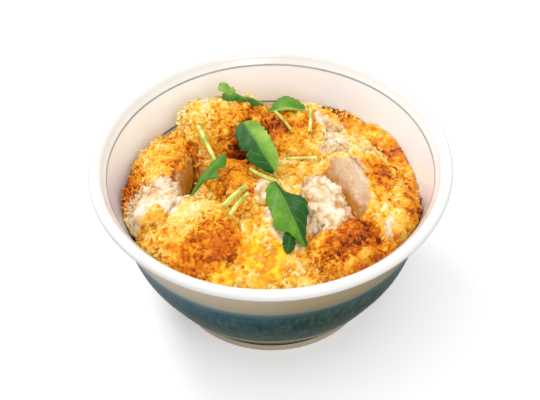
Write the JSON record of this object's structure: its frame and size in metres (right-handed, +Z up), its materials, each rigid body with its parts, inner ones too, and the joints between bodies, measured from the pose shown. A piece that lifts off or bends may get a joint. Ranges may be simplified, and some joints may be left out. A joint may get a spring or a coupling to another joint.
{
  "type": "katsudon",
  "caption": "Sliced fried pork cutlet and soft egg heaped over rice in a deep round bowl on a foot ring, topped with green leaves.",
  "frame": {"origin": "centre of the foot ring, on the table", "axes": "+Z up, the bowl's axis; -Y towards the viewer of the picture; +X to that viewer's right"},
  "size_m": [0.1796, 0.1796, 0.0898],
  "materials": {
    "glaze": "glossy white stoneware glaze with a brushed teal band and thin grey lines",
    "egg": "soft-set beaten egg, moist",
    "egg_white": "glossy set egg white",
    "yolk": "glossy soft yolk",
    "crust": "rough fried breadcrumb, partly soaked with sauce",
    "pork": "cut cooked pork, moist and fibrous",
    "leaf": "soft waxy green leaf",
    "stem": "smooth pale green stem"
  },
  "bodies": {
    "root": {"bowl": "glaze", "egg_bed": "egg", "crust_left": "crust", "pork_left": "pork", "crust_right": "crust", "pork_right": "pork", "cutlet_back_left": "crust", "cutlet_back_right": "crust", "cutlet_middle": "crust", "cutlet_front_left": "crust", "cutlet_front_right": "crust", "egg_white_left": "egg_white", "egg_white_centre": "egg_white", "egg_white_small": "egg_white", "yolk_back": "yolk", "yolk_front": "yolk", "leaf_centre": "leaf", "leaf_front": "leaf", "leaf_left": "leaf", "leaf_back_left": "leaf", "leaf_back_right": "leaf", "stem_left": "stem", "stem_back": "stem", "stem_back_right": "stem", "stem_right": "stem", "stem_centre": "stem", "stem_front": "stem", "stem_front_thin": "stem"}
  },
  "joints": []
}
